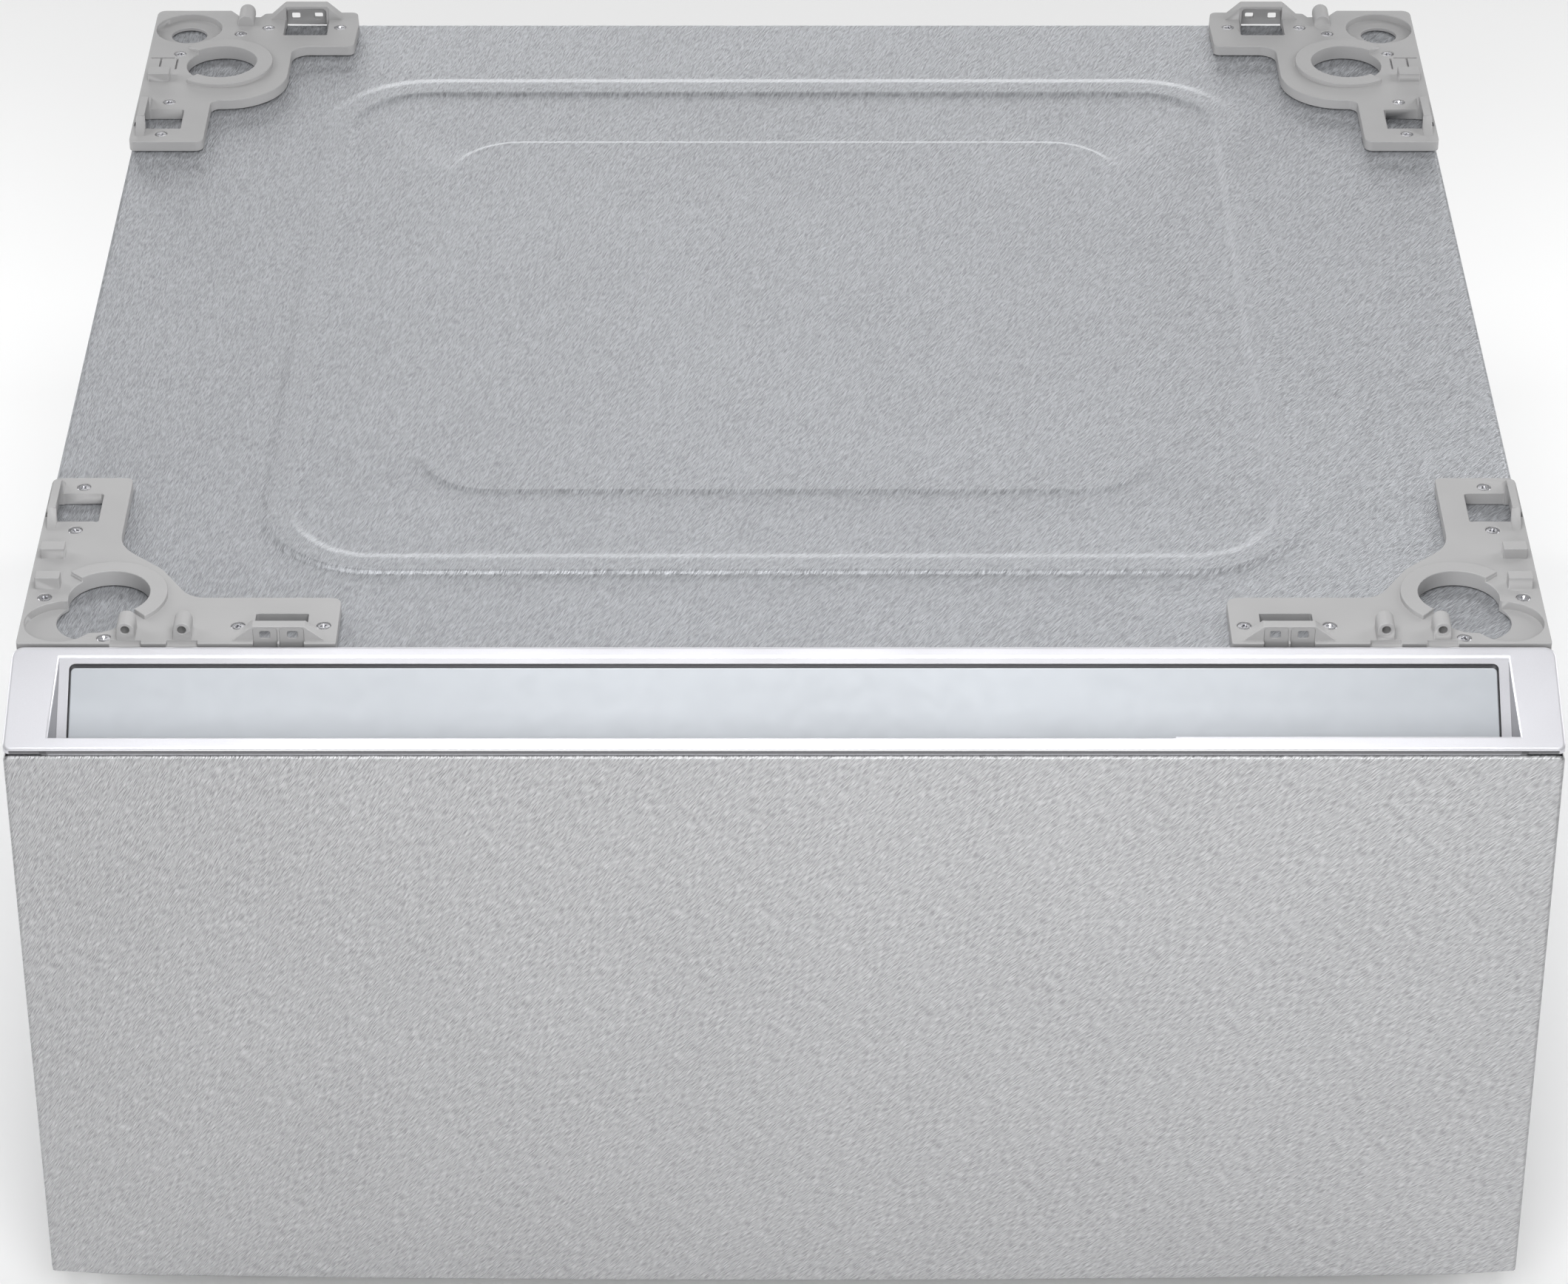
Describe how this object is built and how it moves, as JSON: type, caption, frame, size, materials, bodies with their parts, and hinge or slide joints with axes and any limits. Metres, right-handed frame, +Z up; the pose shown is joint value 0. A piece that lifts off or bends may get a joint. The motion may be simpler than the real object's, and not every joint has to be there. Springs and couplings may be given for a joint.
{
  "type": "laundry pedestal",
  "caption": "Storage-drawer pedestal for a 27-inch front-load washer or dryer: steel cabinet, full-width drawer with a recessed handle, foot retainers on top and levelling feet.",
  "frame": {"origin": "on the floor, at the middle of the pedestal's footprint", "axes": "+X to the right seen from the front, +Y to the back, +Z up; the drawer opens along -Y"},
  "size_m": [0.686, 0.698, 0.3532],
  "materials": {
    "textured_steel": "fine embossed slanted grain, satin",
    "retainer_plastic": "matte moulded",
    "silver_trim": "satin silver paint",
    "handle_inset": "high gloss",
    "galvanised_steel": "galvanised, spangled",
    "tub_paint": "light grey powder coat",
    "bright_zinc": "bright zinc plate",
    "divider_plastic": "matte moulded",
    "black_rubber": "matte"
  },
  "bodies": {
    "cabinet": {"top_plate": "textured_steel", "side_panel_left": "textured_steel", "side_panel_right": "textured_steel", "back_panel": "galvanised_steel", "front_header_rail": "galvanised_steel", "front_base_rail": "galvanised_steel", "rear_base_rail": "galvanised_steel", "foot_bracket_front_left": "galvanised_steel", "foot_bracket_front_right": "galvanised_steel", "foot_bracket_rear_left": "galvanised_steel", "foot_bracket_rear_right": "galvanised_steel", "lock_nut_front_left": "bright_zinc", "lock_nut_front_right": "bright_zinc", "lock_nut_rear_left": "bright_zinc", "lock_nut_rear_right": "bright_zinc", "retainer_front_left": "retainer_plastic", "retainer_front_right": "retainer_plastic", "retainer_rear_left": "retainer_plastic", "retainer_rear_right": "retainer_plastic", "slide_bracket_left": "bright_zinc", "slide_bracket_right": "bright_zinc", "slide_outer_left": "bright_zinc", "slide_outer_right": "bright_zinc", "drawer_bumper_low_left": "black_rubber", "drawer_bumper_low_right": "black_rubber", "drawer_bumper_high_left": "black_rubber", "drawer_bumper_high_right": "black_rubber"},
    "drawer": {"drawer_front_skin": "textured_steel", "drawer_front_liner": "tub_paint", "handle_trim": "silver_trim", "handle_inset": "handle_inset", "tub_floor": "tub_paint", "tub_front": "tub_paint", "tub_back": "tub_paint", "tub_side_left": "tub_paint", "tub_side_right": "tub_paint", "drawer_divider": "divider_plastic", "slide_inner_left": "bright_zinc", "slide_inner_right": "bright_zinc"},
    "slide_middle_left": {"slide_middle_left": "bright_zinc"},
    "ball_cage_outer_left": {"ball_cage_outer_left": "bright_zinc"},
    "ball_cage_inner_left": {"ball_cage_inner_left": "bright_zinc"},
    "slide_middle_right": {"slide_middle_right": "bright_zinc"},
    "ball_cage_outer_right": {"ball_cage_outer_right": "bright_zinc"},
    "ball_cage_inner_right": {"ball_cage_inner_right": "bright_zinc"},
    "foot_front_left": {"foot_stud_front_left": "bright_zinc", "foot_pad_front_left": "black_rubber"},
    "foot_front_right": {"foot_stud_front_right": "bright_zinc", "foot_pad_front_right": "black_rubber"},
    "foot_rear_left": {"foot_stud_rear_left": "bright_zinc", "foot_pad_rear_left": "black_rubber"},
    "foot_rear_right": {"foot_stud_rear_right": "bright_zinc", "foot_pad_rear_right": "black_rubber"}
  },
  "joints": [
    {"name": "drawer_slide", "type": "slide", "parent": "cabinet", "child": "drawer", "axis": [0, -1, 0], "range_m": [0, 0.45]},
    {"name": "ball_cage_outer_left_travel", "type": "slide", "parent": "cabinet", "child": "ball_cage_outer_left", "axis": [0, -1, 0], "range_m": [0, 0.1125]},
    {"name": "slide_middle_left_travel", "type": "slide", "parent": "cabinet", "child": "slide_middle_left", "axis": [0, -1, 0], "range_m": [0, 0.225]},
    {"name": "ball_cage_inner_left_travel", "type": "slide", "parent": "cabinet", "child": "ball_cage_inner_left", "axis": [0, -1, 0], "range_m": [0, 0.3375]},
    {"name": "ball_cage_outer_right_travel", "type": "slide", "parent": "cabinet", "child": "ball_cage_outer_right", "axis": [0, -1, 0], "range_m": [0, 0.1125]},
    {"name": "slide_middle_right_travel", "type": "slide", "parent": "cabinet", "child": "slide_middle_right", "axis": [0, -1, 0], "range_m": [0, 0.225]},
    {"name": "ball_cage_inner_right_travel", "type": "slide", "parent": "cabinet", "child": "ball_cage_inner_right", "axis": [0, -1, 0], "range_m": [0, 0.3375]},
    {"name": "foot_front_left_adjust", "type": "slide", "parent": "cabinet", "child": "foot_front_left", "axis": [0, 0, -1], "range_m": [0, 0.015]},
    {"name": "foot_front_right_adjust", "type": "slide", "parent": "cabinet", "child": "foot_front_right", "axis": [0, 0, -1], "range_m": [0, 0.015]},
    {"name": "foot_rear_left_adjust", "type": "slide", "parent": "cabinet", "child": "foot_rear_left", "axis": [0, 0, -1], "range_m": [0, 0.015]},
    {"name": "foot_rear_right_adjust", "type": "slide", "parent": "cabinet", "child": "foot_rear_right", "axis": [0, 0, -1], "range_m": [0, 0.015]}
  ],
  "couplings": [
    {"joint": "ball_cage_outer_left_travel", "follows": "drawer_slide", "ratio": 0.25},
    {"joint": "slide_middle_left_travel", "follows": "drawer_slide", "ratio": 0.5},
    {"joint": "ball_cage_inner_left_travel", "follows": "drawer_slide", "ratio": 0.75},
    {"joint": "ball_cage_outer_right_travel", "follows": "drawer_slide", "ratio": 0.25},
    {"joint": "slide_middle_right_travel", "follows": "drawer_slide", "ratio": 0.5},
    {"joint": "ball_cage_inner_right_travel", "follows": "drawer_slide", "ratio": 0.75}
  ]
}
